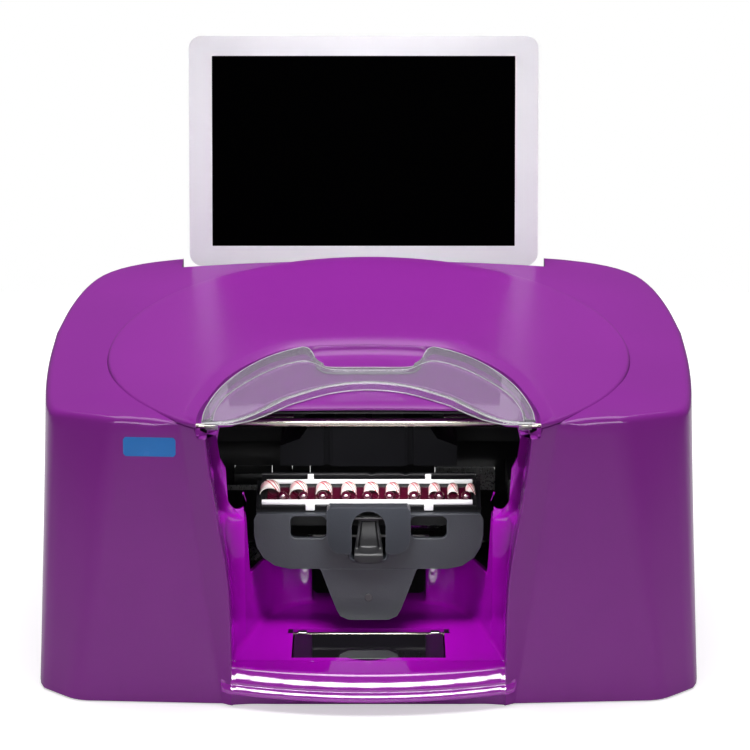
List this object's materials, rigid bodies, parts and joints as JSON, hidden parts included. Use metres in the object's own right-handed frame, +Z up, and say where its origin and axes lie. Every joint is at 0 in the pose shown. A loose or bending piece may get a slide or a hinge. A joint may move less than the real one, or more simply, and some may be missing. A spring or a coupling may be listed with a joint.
{
  "type": "nail art printer",
  "caption": "Countertop nail printer: curved housing with a hooded bay, clear flip-up visor, sliding nail cassette platform and tilting screen.",
  "frame": {"origin": "on the table, under the middle of the machine's box at rest", "axes": "+Z up, -Y to the front with the bay opening, +X to the right seen from the front"},
  "size_m": [0.431, 0.3846, 0.3731],
  "materials": {
    "shell_purple": "moulded, glossy deep purple",
    "disc_purple": "moulded, glossy purple",
    "bay_magenta": "moulded, high gloss magenta",
    "black_moulding": "fine textured black",
    "grey_moulding": "fine textured dark grey",
    "lever_black": "polished black",
    "clear_visor": "clear polycarbonate, polished edges",
    "smoked_lid": "smoked, mirror gloss",
    "white_frame": "white, glossy",
    "display_black": "display glass, switched off",
    "bright_steel": "ground and polished",
    "black_steel": "black sheet steel",
    "plain_steel": "zinc plated",
    "foot_rubber": "soft feet and belt",
    "pulley_brass": "turned",
    "circuit_green": "printed circuit board",
    "strip_clear": "printed film",
    "cassette_white": "white strips",
    "rest_wine": "dark wine red, mirror gloss",
    "tip_pink": "pale pink with a red motif"
  },
  "bodies": {
    "machine": {"housing": "shell_purple", "top_disc": "disc_purple", "bay_liner": "bay_magenta", "sill": "bay_magenta", "lid_well": "black_moulding", "base_plate": "black_moulding", "feet": "foot_rubber", "base_screws": "plain_steel", "rear_panel": "black_moulding", "power_inlet": "black_moulding", "switch_frame": "black_moulding", "port_block": "plain_steel", "side_plates": "black_steel", "feed_deck": "black_steel", "rear_beam": "black_steel", "front_bar": "bright_steel", "rail_strip": "black_steel", "carriage_rod": "bright_steel", "encoder_strip": "strip_clear", "drive_belt": "foot_rubber", "carriage_motor": "black_steel", "idler_post": "plain_steel", "service_station": "black_moulding", "main_board": "circuit_green", "power_supply": "plain_steel", "guide_blocks": "black_moulding", "feed_motor": "black_steel", "lid_rod": "bright_steel", "visor_pins": "bright_steel", "screen_bracket": "black_steel", "screen_pin": "bright_steel"},
    "rocker_switch": {"rocker": "lever_black"},
    "drive_wheel": {"drive_pulley": "pulley_brass"},
    "idler_wheel": {"idler_pulley": "pulley_brass"},
    "feed_wheel": {"feed_roller": "foot_rubber"},
    "lid": {"floor_lid": "smoked_lid"},
    "visor_shell": {"visor": "clear_visor"},
    "screen": {"screen_frame": "white_frame", "screen_glass": "display_black", "screen_back": "white_frame"},
    "platform": {"front_plate": "grey_moulding", "tongue": "grey_moulding", "tongue_rivet": "grey_moulding", "grip_block": "grey_moulding", "lever_pin": "plain_steel", "bed_tray": "black_moulding", "platform_rods": "bright_steel", "feed_strip": "plain_steel"},
    "lever": {"release_lever": "lever_black"},
    "nail_cassette": {"cassette": "black_moulding", "front_rail": "cassette_white", "rear_rail": "cassette_white", "nail_rests": "rest_wine", "nail_tips": "tip_pink"},
    "print_carriage": {"carriage": "grey_moulding", "cartridges": "black_moulding", "belt_clamp": "black_moulding"}
  },
  "joints": [
    {"name": "visor_hinge", "type": "hinge", "parent": "machine", "child": "visor_shell", "pos_m": [0, -0.16229, 0.1815], "axis": [1, 0, 0], "range_deg": [0, 170]},
    {"name": "screen_tilt", "type": "hinge", "parent": "machine", "child": "screen", "pos_m": [-0.004, 0.16371, 0.2143], "axis": [-1, 0, 0], "range_deg": [-10, 15]},
    {"name": "lid_hinge", "type": "hinge", "parent": "machine", "child": "lid", "pos_m": [0, -0.09879, 0.021], "axis": [-1, 0, 0], "range_deg": [0, 50]},
    {"name": "platform_slide", "type": "slide", "parent": "machine", "child": "platform", "axis": [0, 1, 0], "range_m": [0, 0.062]},
    {"name": "lever_pivot", "type": "hinge", "parent": "platform", "child": "lever", "pos_m": [0, -0.10829, 0.104], "axis": [-1, 0, 0], "range_deg": [0, 20], "stiffness_Nm_per_rad": 0.02},
    {"name": "cassette_lift", "type": "slide", "parent": "platform", "child": "nail_cassette", "axis": [0, -0.342, 0.9397], "range_m": [0, 0.003]},
    {"name": "carriage_slide", "type": "slide", "parent": "machine", "child": "print_carriage", "axis": [1, 0, 0], "range_m": [-0.08, 0.08]},
    {"name": "drive_pulley_spin", "type": "hinge", "parent": "machine", "child": "drive_wheel", "pos_m": [-0.138, 0.00571, 0.148], "axis": [0, 0, 1], "range_deg": [-600, 600]},
    {"name": "idler_pulley_spin", "type": "hinge", "parent": "machine", "child": "idler_wheel", "pos_m": [0.138, 0.00571, 0.148], "axis": [0, 0, 1], "range_deg": [-600, 600]},
    {"name": "feed_roller_spin", "type": "hinge", "parent": "machine", "child": "feed_wheel", "pos_m": [0, -0.01629, 0.0787], "axis": [1, 0, 0], "range_deg": [-400, 0]},
    {"name": "power_rocker", "type": "hinge", "parent": "machine", "child": "rocker_switch", "pos_m": [-0.05, 0.16271, 0.048], "axis": [1, 0, 0], "range_deg": [-8, 8]}
  ],
  "couplings": [
    {"joint": "drive_pulley_spin", "follows": "carriage_slide", "rad_per_m": 125},
    {"joint": "idler_pulley_spin", "follows": "carriage_slide", "rad_per_m": 125},
    {"joint": "feed_roller_spin", "follows": "platform_slide", "rad_per_m": -111.11}
  ]
}
